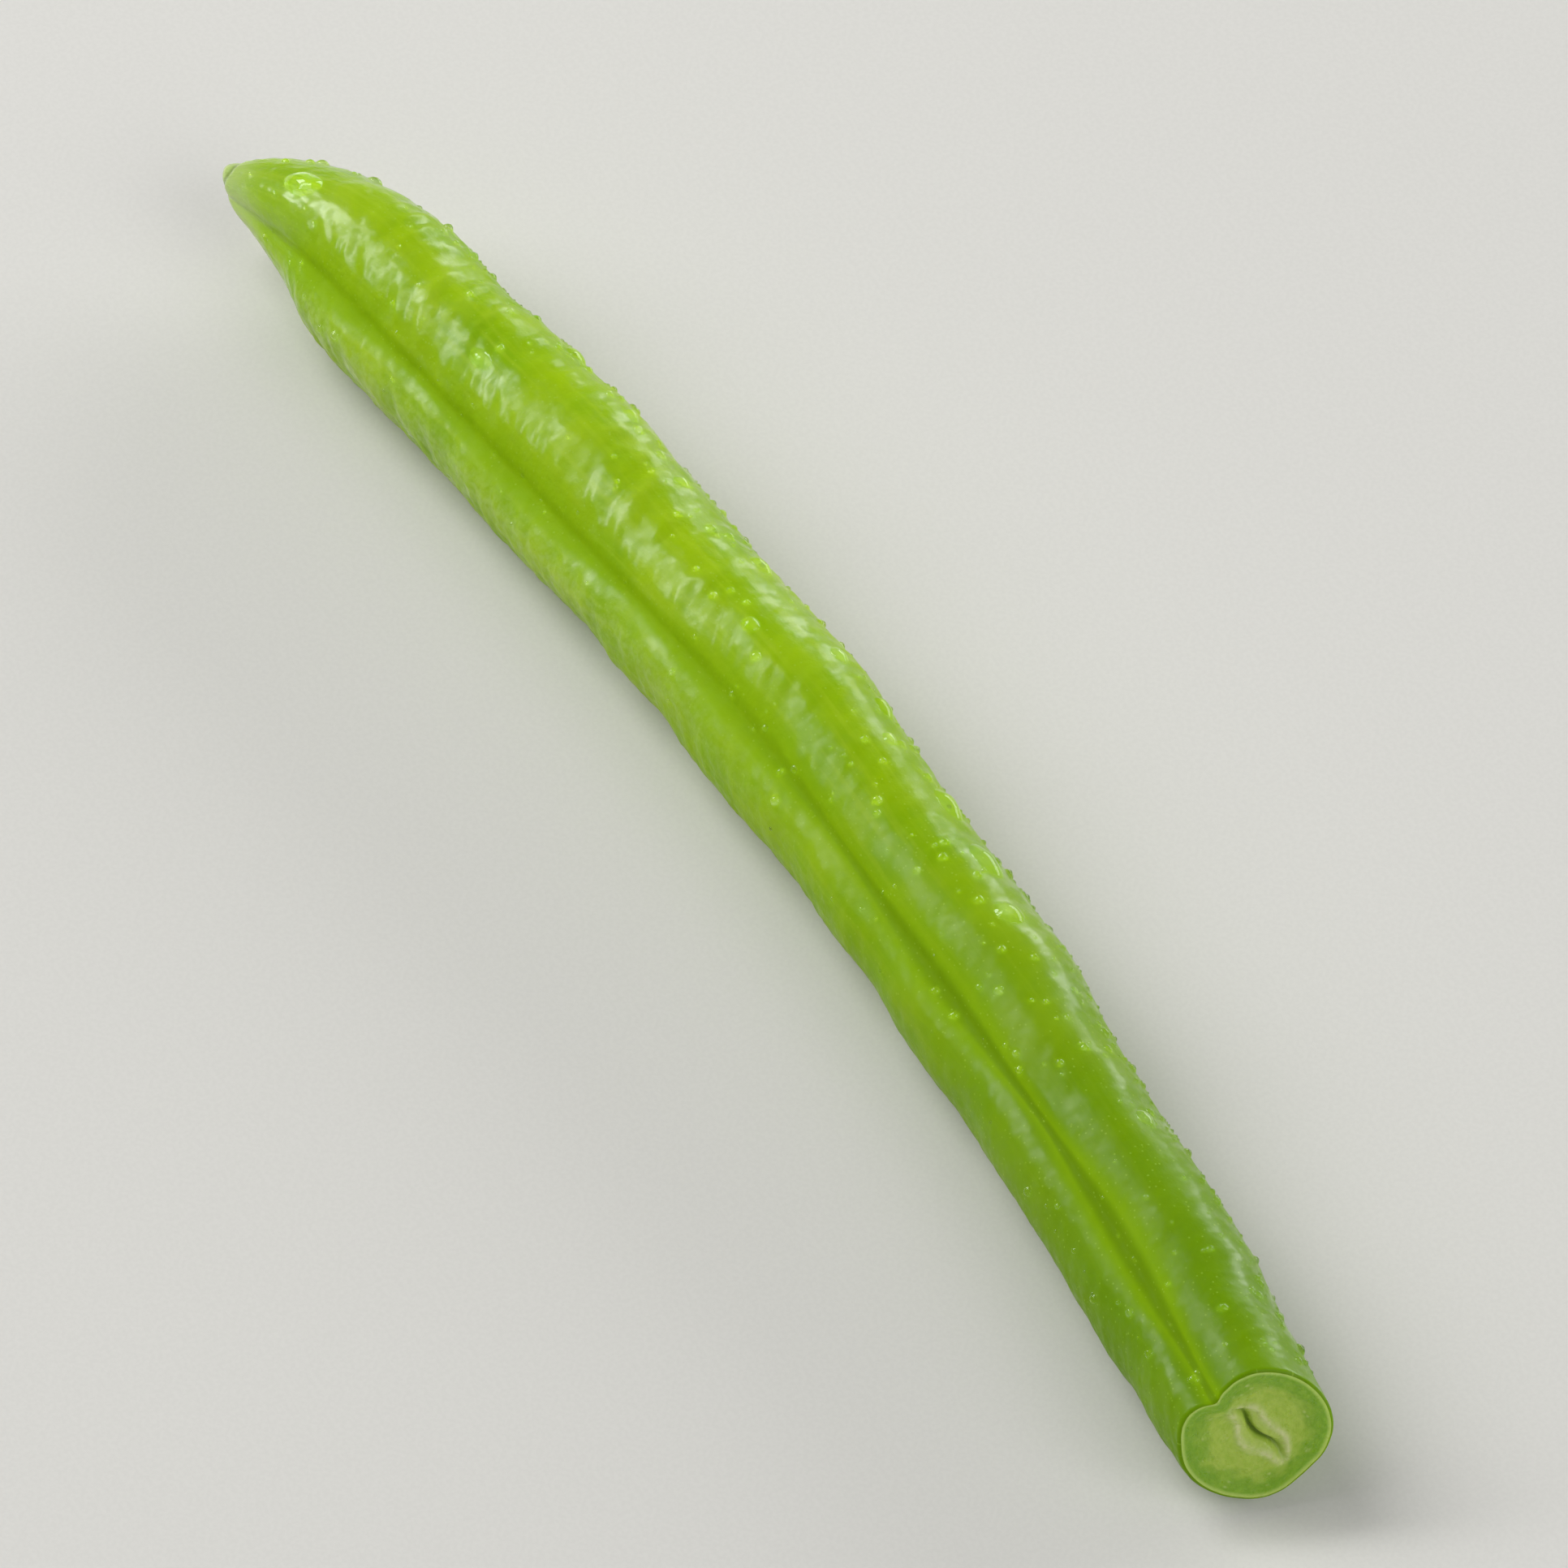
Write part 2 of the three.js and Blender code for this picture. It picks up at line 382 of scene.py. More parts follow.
def closed_body(name, bodies):
    """One mesh of closed bodies. Each body is a grid of rows and columns: its columns join round, and its
    first and last rows, which are single points, close it. The last axis holds X, Y and Z in millimetres."""
    count, rows, columns = bodies.shape[:3]
    inner = bodies[:, 1:-1].reshape(count, -1, 3)
    points = np.concatenate([bodies[:, :1, 0], inner, bodies[:, -1:, 0]], axis=1)
    body_points = points.shape[1]
    row = 1 + columns * np.arange(rows - 3)[:, None]
    column = np.arange(columns)[None, :]
    onward = (column + 1) % columns
    quads = np.stack([row + column, row + onward, row + columns + onward, row + columns + column], axis=-1)
    first_fan = np.stack([0 * column, 1 + onward, 1 + column], axis=-1)
    last_ring = 1 + columns * (rows - 3)
    last_fan = np.stack([last_ring + column, last_ring + onward, 0 * column + body_points - 1], axis=-1)
    shift = body_points * np.arange(count)[:, None, None]
    faces = []
    for group in (first_fan, quads, last_fan):
        corners = group.shape[-1]
        faces += (group.reshape(1, -1, corners) + shift).reshape(-1, corners).tolist()
    mesh = bpy.data.meshes.new(name)
    mesh.from_pydata((points.reshape(-1, 3) * MM).tolist(), [], faces)
    mesh.shade_smooth()
    return add_object(name, mesh)


# The middle of the pod's box is set over the origin, as in the solid
pod_box = np.stack([skin_rows.reshape(-1, 3).min(axis=0), skin_rows.reshape(-1, 3).max(axis=0)])
solid_low, solid_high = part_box("bean_pod")
to_frame = (np.array(solid_low) + np.array(solid_high)) / 2 / MM - pod_box.mean(axis=0)
to_frame[2] = 0
pod = closed_body("bean_skin_and_flesh", (pod_rows + to_frame)[None])


def add_marks(piece, name, values):
    """Keeps three numbers for each point of a closed body, for its material to read."""
    kept = np.concatenate([values[:1, 0], values[1:-1].reshape(-1, 3), values[-1:, 0]])
    attribute = piece.data.attributes.new(name, "FLOAT_VECTOR", "POINT")
    attribute.data.foreach_set("vector", kept.astype(np.float32).ravel())


# What the skin's material reads: the place on the skin, then marks for the seam, the relief and the tip,
# then for the nub, its crease and the painted sheen, a pale band on the lower lobe beside the seam
SEAM_TINT_SHARE = 0.9
SEAM_TINT_SWING = 0.45
SEAM_TINT_FADE_IN = (2.0, 9.0)
TIP_TINT_LENGTH = 3.0
PAINTED_SHEEN_AT = 0.5
PAINTED_SHEEN_SPREAD = 0.24
PAINTED_SHEEN_FADE_IN = (4.0, 12.0)
PAINTED_SHEEN_FADE_OUT = (30.0, 64.0)

tip_along = np.zeros(BEAK_FACE_ROWS)
cut_along = np.full(EDGE_ROWS + CUT_ROWS, POD_LENGTH)
row_along = np.concatenate([tip_along, skin_along[:, 0], cut_along])[:, None]
seam_swing = 1 + SEAM_TINT_SWING * np.cos(swell_phase(row_along))
seam_breadth = SEAM_TINT_SHARE * seam_swing * valley_spread(around)
seam_mark = bell(from_seam(around), seam_breadth) * smooth_step(row_along, *SEAM_TINT_FADE_IN)
relief_mark = skin_relief(row_along, around) / PUCKER_HEIGHT
tip_mark = bell(row_along, TIP_TINT_LENGTH) * np.ones_like(around)
past_tip = np.zeros((EDGE_ROWS + CUT_ROWS, COLUMNS))
nub_marks = [np.concatenate([mark, past_tip]) for mark in (nub_mark, nub_crease)]
# The painted sheen's mark: a band on the lower lobe beside the seam, fading in behind the tip and out
# towards the stem
painted_sheen_reach = smooth_step(row_along, *PAINTED_SHEEN_FADE_IN) * (1 - smooth_step(row_along, *PAINTED_SHEEN_FADE_OUT))
painted_sheen_mark = bell(around - PAINTED_SHEEN_AT, PAINTED_SHEEN_SPREAD) * painted_sheen_reach
add_marks(pod, "skin_place", skin_place(row_along, around))
add_marks(pod, "skin_marks", np.stack([seam_mark, relief_mark, tip_mark], axis=-1))
add_marks(pod, "patch_marks", np.stack([*nub_marks, painted_sheen_mark], axis=-1))

# What the flesh's material reads: the depth in from the skin and the place on the cut, then the seed chamber
rows_before_cut = BEAK_FACE_ROWS + SKIN_ROWS + EDGE_ROWS
row_share = np.concatenate([np.ones(rows_before_cut), cut_share[:, 0]])[:, None]
row_radius = row_share * (edge_radius - EDGE_RADIUS)
depth_in = (1 - row_share) * (edge_radius - EDGE_RADIUS)
cut_marks = np.stack([depth_in, row_radius * np.cos(around), row_radius * np.sin(around)], axis=-1)
before_cut = np.zeros((rows_before_cut, COLUMNS))
chamber_marks = [np.concatenate([before_cut, mark]) for mark in (slit, lining, chamber)]
add_marks(pod, "cut_marks", cut_marks)
add_marks(pod, "chamber_marks", np.stack(chamber_marks, axis=-1))


def paint(red, green, blue):
    """A colour given as 0 to 255 on a screen, turned into the linear shares that a shader takes."""
    shares = np.array([red, green, blue]) / 255
    linear = np.where(shares <= 0.04045, shares / 12.92, ((shares + 0.055) / 1.055) ** 2.4)
    return (*linear.tolist(), 1.0)


def new_material(name):
    """An empty material with its tree of nodes and its main shader."""
    material = bpy.data.materials.new(name)
    material.use_nodes = True
    return material, material.node_tree, material.node_tree.nodes["Principled BSDF"]


def set_finish(shader, finish):
    """Gives sockets of a shader the values that are the same all over the surface."""
    for socket, value in finish.items():
        shader.inputs[socket].default_value = value


def marks(tree, name):
    """The three numbers kept under a name, together and one by one."""
    kept = tree.nodes.new("ShaderNodeAttribute")
    kept.attribute_name = name
    parts = tree.nodes.new("ShaderNodeSeparateXYZ")
    tree.links.new(kept.outputs["Vector"], parts.inputs[0])
    return kept.outputs["Vector"], parts.outputs


def grain(tree, place, scale, detail, stretch=(1, 1, 1)):
    """Cloudy noise from 0 to 1, at so many clouds a unit. A stretch below 1 draws it out that way."""
    mapping = tree.nodes.new("ShaderNodeMapping")
    mapping.inputs["Scale"].default_value = stretch
    noise = tree.nodes.new("ShaderNodeTexNoise")
    noise.inputs["Scale"].default_value = scale
    noise.inputs["Detail"].default_value = detail
    tree.links.new(place, mapping.inputs["Vector"])
    tree.links.new(mapping.outputs["Vector"], noise.inputs["Vector"])
    return noise.outputs["Fac"]


def spots(tree, place, scale):
    """Distance to the nearest of many scattered points, at so many points a unit."""
    cells = tree.nodes.new("ShaderNodeTexVoronoi")
    cells.inputs["Scale"].default_value = scale
    tree.links.new(place, cells.inputs["Vector"])
    return cells.outputs["Distance"]


def ramp(tree, value, low, high, at_low=0.0, at_high=1.0):
    """Turns the range from low to high into the range from at_low to at_high, and holds it outside."""
    change = tree.nodes.new("ShaderNodeMapRange")
    change.interpolation_type = "SMOOTHSTEP"
    tree.links.new(value, change.inputs["Value"])
    change.inputs["From Min"].default_value = low
    change.inputs["From Max"].default_value = high
    change.inputs["To Min"].default_value = at_low
    change.inputs["To Max"].default_value = at_high
    return change.outputs["Result"]


def calculate(tree, action, first, second):
    """The sum, the product or the larger of two values, each a link or a number."""
    sum_node = tree.nodes.new("ShaderNodeMath")
    sum_node.operation = action
    for socket, value in zip(sum_node.inputs, (first, second)):
        if isinstance(value, (int, float)):
            socket.default_value = value
        else:
            tree.links.new(value, socket)
    return sum_node.outputs[0]


def product(tree, first, *others):
    """The product of several values, each a link or a number."""
    for other in others:
        first = calculate(tree, "MULTIPLY", first, other)
    return first


def tint(tree, share, under, over):
    """Lays a colour over another by a share. Each colour is a link or a paint."""
    mix = tree.nodes.new("ShaderNodeMix")
    mix.data_type = "RGBA"
    tree.links.new(share, mix.inputs["Factor"])
    colour_inputs = [socket for socket in mix.inputs if socket.type == "RGBA"]
    for socket, colour in zip(colour_inputs, (under, over)):
        if isinstance(colour, tuple):
            socket.default_value = colour
        else:
            tree.links.new(colour, socket)
    return [socket for socket in mix.outputs if socket.type == "RGBA"][0]


def layered(tree, ground, layers):
    """Lays colours over a ground, one after another, each by its own share."""
    for share, over in layers:
        ground = tint(tree, share, ground, over)
    return ground


def bump(tree, height, distance, strength):
    """Turns a height of 0 to 1 into a shading normal, for a relief of that depth in metres."""
    node = tree.nodes.new("ShaderNodeBump")
    node.inputs["Strength"].default_value = strength
    node.inputs["Distance"].default_value = distance
    tree.links.new(height, node.inputs["Height"])
    return node.outputs["Normal"]


# The skin: bright yellow green, deeper in the seam's hollow. It darkens towards the stem, partly its own
# deeper green and partly painted shade. The dark line in the seam's crease is partly its own and partly
# painted shade, which grows towards the stem. It is paler at the beak, with faint fibres and tiny pores.
# Paler crests on the raised relief are a painted highlight, and a pale band on the lower lobe beside the
# seam is a painted sheen
LIME = paint(150, 186, 4)
LEAF = paint(132, 174, 0)
SEAM_GREEN = paint(137, 177, 0)
SEAM_LINE_AND_SHADE_GREEN = paint(96, 132, 0)
STEM_GREEN_AND_SHADE = paint(100, 140, 0)
FIBRE_GREEN_AND_CREST_HIGHLIGHT = paint(168, 198, 40)
BEAK_GREEN = paint(180, 201, 126)
PORE_GREEN = paint(166, 198, 70)
NUB_GREEN = paint(194, 208, 144)
CREASE_GREEN = paint(92, 112, 30)
PAINTED_SHEEN_GREEN = paint(180, 206, 112)
WATER_IOR = 1.33

skin, tree, shader = new_material("wet_bean_skin")
place, place_parts = marks(tree, "skin_place")
along_part, _, lower_part = place_parts
_, skin_parts = marks(tree, "skin_marks")
seam_part, relief_part, tip_part = skin_parts
_, patch_parts = marks(tree, "patch_marks")
nub_part, crease_part, painted_sheen_part = patch_parts

clouds = grain(tree, place, scale=0.22, detail=3.0)
fibres = grain(tree, place, scale=2.4, detail=2.0, stretch=(0.06, 1, 1))
pores = spots(tree, place, scale=2.6)
# The dark line in the seam's crease: partly its own line, partly painted shade that grows towards the stem
seam_core = ramp(tree, seam_part, low=0.8, high=1.0)
seam_line_and_shade = product(tree, seam_core, ramp(tree, along_part, low=35, high=80, at_low=0.06, at_high=0.6))
# The painted sheen on the lower lobe, broken into clouds
painted_sheen_clouds = grain(tree, place, scale=2.6, detail=3.0)
painted_sheen = product(tree, painted_sheen_part, ramp(tree, painted_sheen_clouds, low=0.35, high=0.65, at_low=0.12, at_high=0.42))
skin_layers = (
    (ramp(tree, fibres, low=0.45, high=0.75, at_high=0.35), FIBRE_GREEN_AND_CREST_HIGHLIGHT),
    # Paler on the raised relief: a painted highlight on its crests, with the hollows left darker
    (ramp(tree, relief_part, low=0.0, high=0.9, at_high=0.35), FIBRE_GREEN_AND_CREST_HIGHLIGHT),
    # Darker towards the stem: partly its own deeper green, partly painted shade
    (ramp(tree, along_part, low=40, high=92, at_high=0.85), STEM_GREEN_AND_SHADE),
    (ramp(tree, seam_part, low=0.1, high=1.0, at_high=0.8), SEAM_GREEN),
    # The seam's dark line, partly painted shade in the crease
    (seam_line_and_shade, SEAM_LINE_AND_SHADE_GREEN),
    (ramp(tree, pores, low=0.08, high=0.2, at_low=0.4, at_high=0.0), PORE_GREEN),
    (ramp(tree, tip_part, low=0.15, high=1.0, at_high=0.7), BEAK_GREEN),
    (ramp(tree, nub_part, low=0.1, high=0.8, at_high=0.8), NUB_GREEN),
    (ramp(tree, crease_part, low=0.4, high=1.0, at_high=0.5), CREASE_GREEN),
    # The painted sheen beside the seam
    (painted_sheen, PAINTED_SHEEN_GREEN),
)
ground = tint(tree, ramp(tree, clouds, low=0.3, high=0.7), LEAF, LIME)
tree.links.new(layered(tree, ground, skin_layers), shader.inputs["Base Color"])

# The bare skin is satin, and duller in the seam. Its coat is a film of water in patches: whole at the tip,
# thinner towards the stem except on the beaded far side, none in the seam, and drained from the lower side
satin = ramp(tree, grain(tree, place, scale=1.7, detail=3.0), low=0.3, high=0.7, at_low=0.34, at_high=0.5)
roughness = calculate(tree, "ADD", satin, product(tree, seam_part, 0.3))
tree.links.new(roughness, shader.inputs["Roughness"])
film_grain = grain(tree, place, scale=0.9, detail=2.0, stretch=(1.3, 0.8, 0.8))
film = ramp(tree, film_grain, low=0.4, high=0.62, at_low=0.3, at_high=1.0)
film_at_tip = ramp(tree, along_part, low=6, high=14, at_low=1.0, at_high=0.0)
film = calculate(tree, "MAXIMUM", film, film_at_tip)
wet_patches = grain(tree, place, scale=0.16, detail=2.0)
wetter = ramp(tree, wet_patches, low=0.36, high=0.62, at_low=0.4, at_high=1.0)
wetter_at_tip = ramp(tree, along_part, low=8, high=22, at_low=1.0, at_high=0.0)
wetter = calculate(tree, "MAXIMUM", wetter, wetter_at_tip)
off_seam = ramp(tree, seam_part, low=0.3, high=0.8, at_low=1.0, at_high=0.0)
drier = ramp(tree, along_part, low=24, high=62, at_low=1.0, at_high=0.32)
beaded = ramp(tree, lower_part, low=-4.42, high=-3.8, at_low=1.0, at_high=0.0)
drier = calculate(tree, "MAXIMUM", drier, beaded)
drained = ramp(tree, lower_part, low=2.9, high=4.3, at_low=1.0, at_high=0.12)
tree.links.new(product(tree, film, wetter, off_seam, drier, drained), shader.inputs["Coat Weight"])
skin_finish = {
    "Coat Roughness": 0.2,
    "Coat IOR": WATER_IOR,
    "IOR": 1.2,
    "Specular IOR Level": 0.3,
    "Subsurface Weight": 0.35,
    "Subsurface Radius": (0.8, 1.0, 0.15),
    "Subsurface Scale": 1.6 * MM,
}
set_finish(shader, skin_finish)
taut = ramp(tree, along_part, low=SMOOTH_FROM, high=SMOOTH_TO, at_low=1.0, at_high=SMOOTH_SHARE)
skin_grain = product(tree, grain(tree, place, scale=2.8, detail=3.0), taut)
tree.links.new(bump(tree, skin_grain, distance=0.07 * MM, strength=0.7), shader.inputs["Normal"])

# The trimmed flesh: a pale edge where the skin was cut, a green wall with the ends of the fibres in it, and
# moist paler flesh, whitish on the linings of the seed chamber
EDGE_GREEN = paint(190, 216, 104)
RIND_GREEN = paint(130, 180, 0)
FLESH_GREEN = paint(184, 212, 74)
BUNDLE_GREEN = paint(206, 222, 126)
CELL_GREEN = paint(158, 198, 36)
GEL_GREEN = paint(190, 214, 96)
LINING_GREEN = paint(220, 228, 160)
SLIT_GREEN = paint(112, 148, 14)

flesh, tree, shader = new_material("trimmed_bean_flesh")
cut, cut_parts = marks(tree, "cut_marks")
depth_part = cut_parts[0]
_, chamber_parts = marks(tree, "chamber_marks")
slit_part, lining_part, chamber_part = chamber_parts

raggedness = grain(tree, cut, scale=1.1, detail=3.0)
ragged_step = ramp(tree, raggedness, low=0.2, high=0.8, at_low=-0.45, at_high=0.45)
ragged_depth = calculate(tree, "ADD", depth_part, ragged_step)
cells = grain(tree, cut, scale=3.0, detail=4.0)
ring_outside = ramp(tree, ragged_depth, low=0.4, high=0.7)
ring_inside = ramp(tree, ragged_depth, low=0.9, high=1.3, at_low=1.0, at_high=0.0)
fibre_ends = ramp(tree, spots(tree, cut, scale=1.9), low=0.05, high=0.32, at_low=0.6, at_high=0.0)
bundles = product(tree, fibre_ends, product(tree, ring_outside, ring_inside))
streaks = ramp(tree, grain(tree, cut, scale=2.2, detail=3.0), low=0.3, high=0.6, at_low=0.35, at_high=0.95)
flesh_layers = (
    (ramp(tree, cells, low=0.4, high=0.65, at_high=0.5), CELL_GREEN),
    (bundles, BUNDLE_GREEN),
    (ramp(tree, chamber_part, low=0.2, high=1.0, at_high=0.6), GEL_GREEN),
    (product(tree, lining_part, streaks), LINING_GREEN),
    (ramp(tree, slit_part, low=0.3, high=0.9, at_high=0.8), SLIT_GREEN),
    (ramp(tree, depth_part, low=0.05, high=0.25, at_low=0.9, at_high=0.0), EDGE_GREEN),
)
ground = tint(tree, ramp(tree, ragged_depth, low=0.6, high=1.5), RIND_GREEN, FLESH_GREEN)
tree.links.new(layered(tree, ground, flesh_layers), shader.inputs["Base Color"])
moisture = ramp(tree, grain(tree, cut, scale=2.0, detail=3.0), low=0.3, high=0.7, at_low=0.25, at_high=0.5)
tree.links.new(moisture, shader.inputs["Roughness"])
flesh_finish = {
    "Coat Weight": 0.25,
    "Coat Roughness": 0.12,
    "Coat IOR": WATER_IOR,
    "Subsurface Weight": 0.4,
    "Subsurface Radius": (0.9, 1.0, 0.3),
    "Subsurface Scale": 1.2 * MM,
}
set_finish(shader, flesh_finish)
flesh_grain = grain(tree, cut, scale=3.5, detail=4.0)
tree.links.new(bump(tree, flesh_grain, distance=0.14 * MM, strength=0.7), shader.inputs["Normal"])

# Faces up to the end of the cut's rounded edge are skin, and the rest are flesh
pod.data.materials.append(skin)
pod.data.materials.append(flesh)
first_flesh_face = COLUMNS * (rows_before_cut - 1)
face_finish = (np.arange(len(pod.data.polygons)) >= first_flesh_face).astype(np.int32)
pod.data.polygons.foreach_set("material_index", face_finish)

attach(pod, "root")
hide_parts("bean_pod")

# Water left from washing: clear round beads, held on the skin by their own surface tension.
# Small ones crowd along the upper far side, and larger drops lie here and there.
BEAD_TRIES = 4200
BEADS_FROM = 2.5
BEADS_TO = POD_LENGTH - 1.5
BEAD_SMALLEST = 0.1
BEAD_LARGEST = 0.32
BEAD_SIZE_POWER = 2.5
BEAD_HEIGHT_SHARE = 0.7
BEAD_RINGS = 5
BEAD_COLUMNS = 9
BEAD_SEED = 21
CROWDED_SIDE = math.radians(-62)
CROWDED_SPREAD = math.radians(26)
CROWDED_SHARE = 0.55
SPARSE_SHARE = 0.12
WETTED_REACH = math.radians(88)

# The step over which the skin's slope is read, in millimetres along it and radians around it, and the share
# of its height that a body of water reaches under the skin
NORMAL_STEP = 0.02
WATER_FOOT = 0.5


def skin_normal(along, around):
    """Outward direction of the skin: the cross product of its slopes round the pod and along it."""
    round_it = skin_point(along, around + NORMAL_STEP) - skin_point(along, around - NORMAL_STEP)
    along_it = skin_point(along + NORMAL_STEP, around) - skin_point(along - NORMAL_STEP, around)
    return unit(np.cross(round_it, along_it))


def water_bodies(along, around, length, breadth, height, rings, columns):
    """Domes on the skin. A place in a dome is a share of its radius and a direction, and its height over the
    skin falls with the square of that share. A last ring and point under the skin close it."""
    share = np.concatenate([np.sqrt(np.linspace(0, 1, rings)), [1.0, 0.0]])[None, :, None]
    under = np.concatenate([np.zeros(rings), np.ones(2)]).astype(bool)[None, :, None]
    turn = (2 * np.pi * np.arange(columns) / columns)[None, None, :]
    along, around, length, breadth, height = (
        value[:, None, None] for value in (along, around, length, breadth, height)
    )
    reach = skin_radius(along, around)
    at_along = along + share * length * np.cos(turn)
    at_around = around + share * breadth * np.sin(turn) / reach
    rise = height * np.where(under, -WATER_FOOT, 1 - share**2)
    base = skin_point(at_along, at_around)
    return base + skin_normal(along, around) * rise[..., None]


def turn_between(angle, other):
    """Angle between two directions, the shorter way round."""
    return np.abs(np.angle(np.exp(1j * (angle - other))))


# Beads are drawn at random all over the skin, and kept by a chance that falls off from the crowded side.
# None is kept on the underside. Their tilt is the angle from straight up, counted as the seam's is
draws = np.random.default_rng(BEAD_SEED)
bead_along = draws.uniform(BEADS_FROM, BEADS_TO, BEAD_TRIES)
bead_around = draws.uniform(0, 2 * np.pi, BEAD_TRIES)
bead_chance = draws.uniform(0, 1, BEAD_TRIES)
bead_growth = draws.uniform(0, 1, BEAD_TRIES) ** BEAD_SIZE_POWER
bead_size = BEAD_SMALLEST + (BEAD_LARGEST - BEAD_SMALLEST) * bead_growth
bead_height = BEAD_HEIGHT_SHARE * bead_size
bead_tilt = seam_turn(bead_along) + bead_around
likely = SPARSE_SHARE + CROWDED_SHARE * bell(turn_between(bead_tilt, CROWDED_SIDE), CROWDED_SPREAD)
kept = (bead_chance < likely) & (turn_between(bead_tilt, 0) < WETTED_REACH)
bead_sizes = [values[kept] for values in (bead_along, bead_around, bead_size, bead_size, bead_height)]
beads = closed_body("water_beads", water_bodies(*bead_sizes, BEAD_RINGS, BEAD_COLUMNS) + to_frame)

# Larger drops: place along, angle from the seam in degrees, length, breadth and height
DROPS = np.array(
    [
        (5.6, -58, 0.95, 0.8, 0.4),
        (20.5, -44, 0.8, 0.5, 0.26),
        (22.0, -116, 0.7, 0.6, 0.3),
        (43.5, -48, 0.5, 0.45, 0.22),
        (62.0, -88, 1.3, 0.8, 0.36),
        (66.0, -72, 0.85, 0.8, 0.36),
        (57.5, -96, 1.2, 0.7, 0.34),
        (33.0, -92, 0.5, 0.45, 0.22),
        (80.0, -70, 0.6, 0.5, 0.24),
        (28.0, -96, 0.5, 0.4, 0.22),
        (36.5, -84, 0.45, 0.4, 0.2),
        (39.5, -95, 0.75, 0.5, 0.28),
        (47.0, -86, 0.6, 0.45, 0.24),
        (50.5, -98, 0.8, 0.6, 0.3),
        (53.0, -80, 0.5, 0.42, 0.22),
    ]
)
DROP_RINGS = 12
DROP_COLUMNS = 28
drop_along, drop_degrees, *drop_sizes = DROPS.T
drop_around = np.radians(drop_degrees)
drop_bodies = water_bodies(drop_along, drop_around, *drop_sizes, DROP_RINGS, DROP_COLUMNS)
drops = closed_body("water_drops", drop_bodies + to_frame)

# Clear water that lets the lamps through to the skin under it, greyed a little as painted shade on that skin
WATER_SHADE_TINT = (0.72, 0.72, 0.72, 1)
water, _, shader = new_material("clear_water")
water_finish = {
    "Base Color": WATER_SHADE_TINT,
    "Roughness": 0.02,
    "IOR": WATER_IOR,
    "Transmission Weight": 1.0,
}
set_finish(shader, water_finish)
for piece in (beads, drops):
    piece.data.materials.append(water)
    piece.visible_shadow = False
    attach(piece, "root")

# The studio floor, which is no part of the bean: a wide sheet of matt paper in warm white, with a faint
# fibre, lying a hair below the bean
FLOOR_SIDE = 4.0
FLOOR_DROP = 0.02 * MM
PAPER = paint(220, 219, 214)
PAPER_FIBRE = paint(217, 216, 211)
half = FLOOR_SIDE / 2
floor_plan = ((-half, -half), (half, -half), (half, half), (-half, half))
floor_corners = [(x, y, -FLOOR_DROP) for x, y in floor_plan]
floor_mesh = bpy.data.meshes.new("floor")
floor_mesh.from_pydata(floor_corners, [], [(0, 1, 2, 3)])
floor = add_object("floor", floor_mesh)
paper, tree, shader = new_material("floor_paper")
coordinates = tree.nodes.new("ShaderNodeTexCoord")
fibre = grain(tree, coordinates.outputs["Object"], scale=4000.0, detail=2.0)
paper_colour = tint(tree, ramp(tree, fibre, low=0.3, high=0.7), PAPER, PAPER_FIBRE)
tree.links.new(paper_colour, shader.inputs["Base Color"])
set_finish(shader, {"Roughness": 0.85, "Specular IOR Level": 0.2})
floor.data.materials.append(paper)

# The light, as the camera sees it: a large soft lamp high up on the far left, a narrow strip beside it that
# is turned across the bean, a small lamp further back that shows only in the gloss, a low wide one behind on
# the right for the far rim, and one on the near right for the cut end. An even white glow fills the shadows
LAMP_DISTANCE = 0.9
GLOW = 0.16


def from_centre(azimuth, elevation, distance):
    """A place at a distance from the origin. Azimuth 0 is at -Y and a quarter turn is at +X."""
    flat = distance * math.cos(elevation)
    return Vector((flat * math.sin(azimuth), -flat * math.cos(azimuth), distance * math.sin(elevation)))


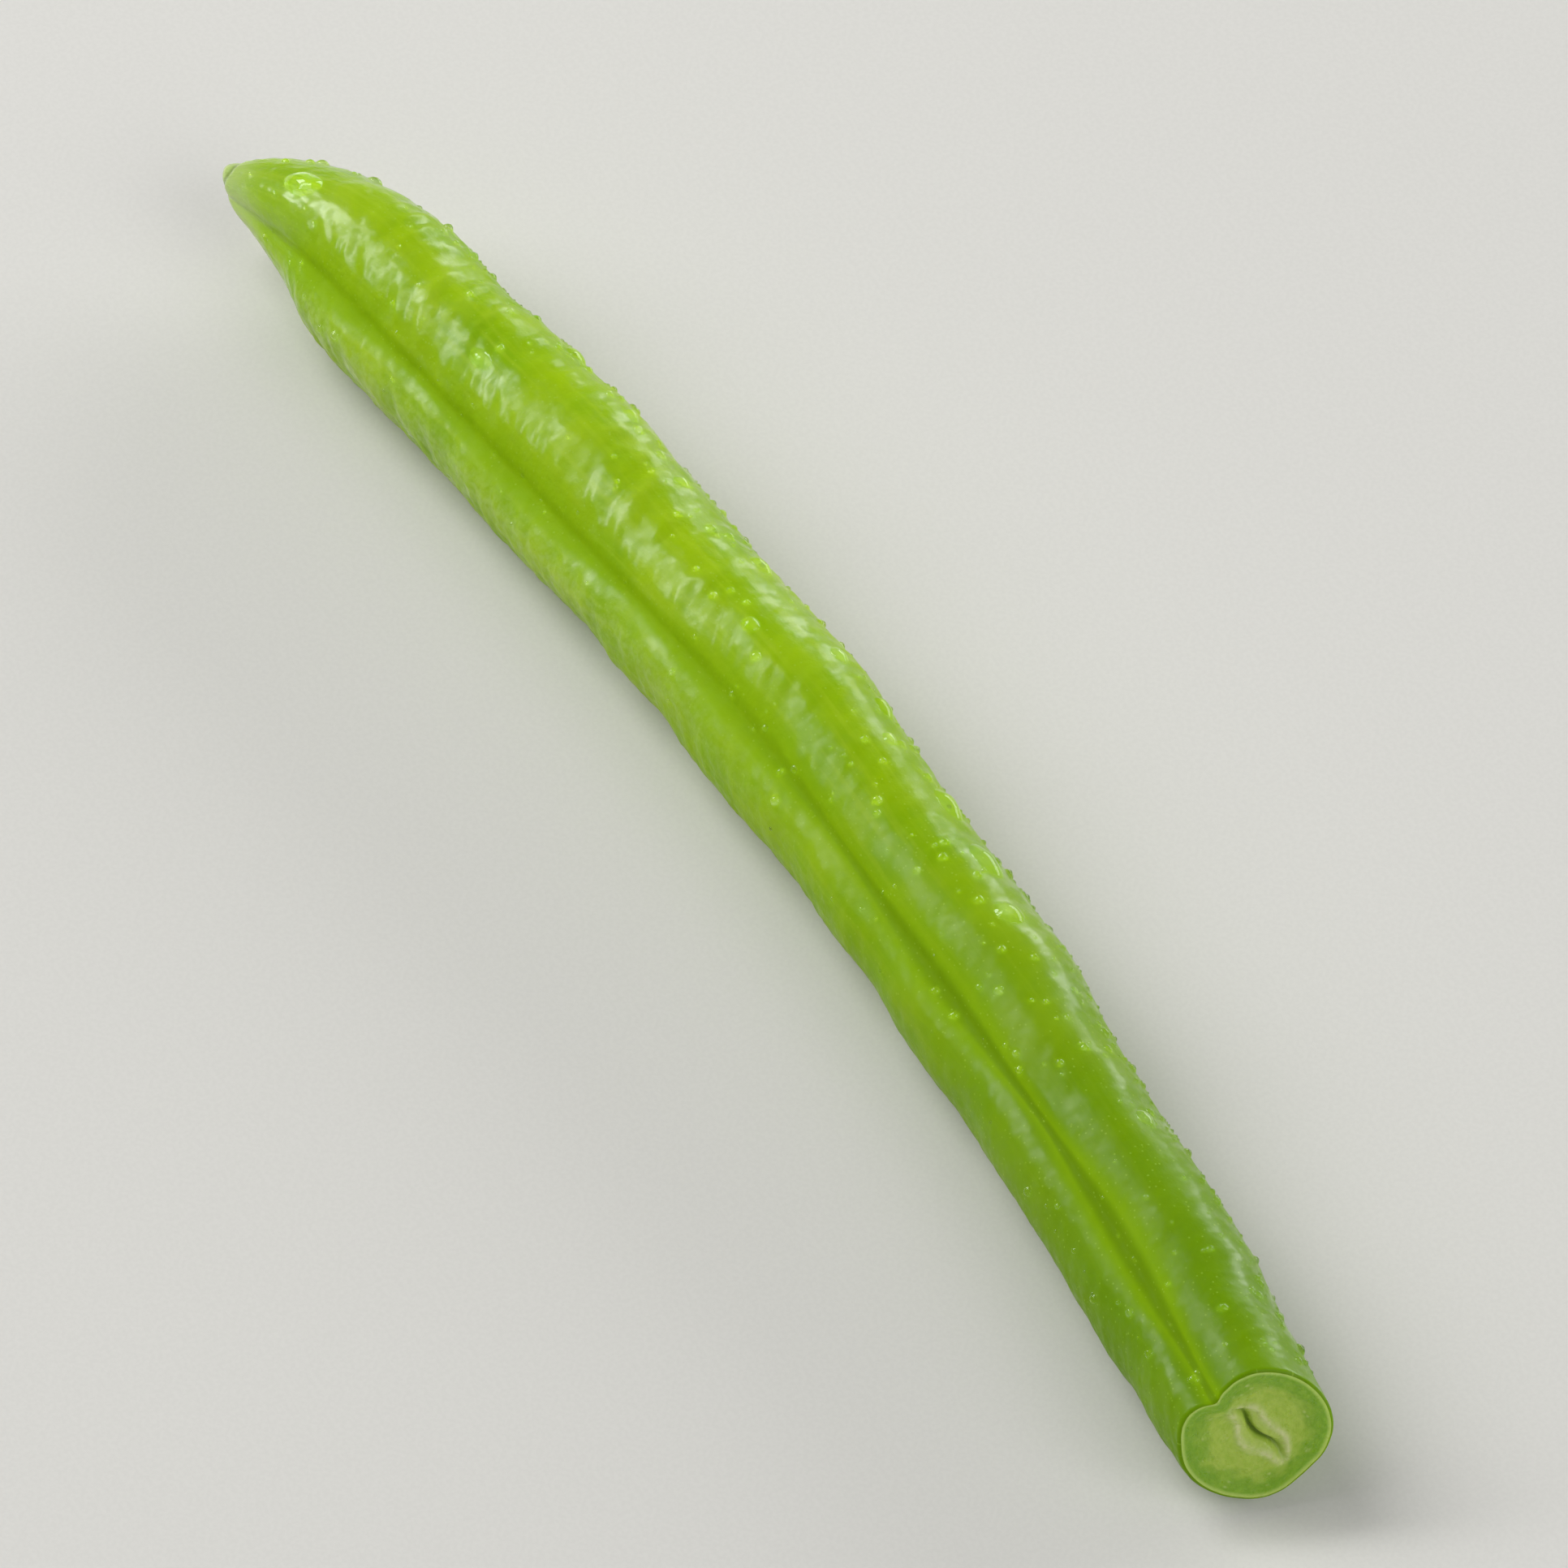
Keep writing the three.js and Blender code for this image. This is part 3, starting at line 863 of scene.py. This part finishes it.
def soft_lamp(name, azimuth, elevation, breadth, height, power, roll=0):
    """A flat rectangular lamp that faces the origin, turned about its own middle by the roll. Its angles are
    in degrees, its sides in metres and its power in watts."""
    lamp = bpy.data.lights.new(name, "AREA")
    lamp.shape = "RECTANGLE"
    lamp.size = breadth
    lamp.size_y = height
    lamp.energy = power
    holder = add_object(name, lamp)
    holder.location = from_centre(math.radians(azimuth), math.radians(elevation), LAMP_DISTANCE)
    facing = holder.location.to_track_quat("Z", "Y") @ Quaternion((0, 0, 1), math.radians(roll))
    holder.rotation_euler = facing.to_euler()
    return holder


soft_lamp("key_lamp", azimuth=310, elevation=46, breadth=0.6, height=0.6, power=3.2)
soft_lamp("glint_lamp", azimuth=308, elevation=44, breadth=0.14, height=1.0, power=3.8, roll=40)
sheen = soft_lamp("sheen_lamp", azimuth=288, elevation=34, breadth=0.22, height=0.4, power=3.4, roll=48)
sheen.visible_diffuse = False
soft_lamp("rim_lamp", azimuth=195, elevation=14, breadth=1.0, height=0.32, power=5.0)
soft_lamp("end_lamp", azimuth=105, elevation=35, breadth=0.6, height=0.6, power=2.6)
world = bpy.data.worlds.new("studio")
world.use_nodes = True
world.node_tree.nodes["Background"].inputs["Color"].default_value = (1, 1, 1, 1)
world.node_tree.nodes["Background"].inputs["Strength"].default_value = GLOW
bpy.context.scene.world = world
bpy.context.scene.view_settings.view_transform = "Standard"

# The camera: a long lens, turned and tilted so that the bean lies across the picture as in the photograph
VIEW_AZIMUTH = math.radians(59.5)
VIEW_ELEVATION = math.radians(48)
LENS = 350.0
SENSOR = 36.0
CAMERA_DISTANCE = 0.76
AIM = Vector((0.0, 0.0, 0.003))
camera = add_object("camera", bpy.data.cameras.new("camera"))
camera.data.lens = LENS
camera.data.sensor_width = SENSOR
toward = from_centre(VIEW_AZIMUTH, VIEW_ELEVATION, CAMERA_DISTANCE)
camera.location = AIM + toward
camera.rotation_euler = toward.to_track_quat("Z", "Y").to_euler()
bpy.context.scene.camera = camera
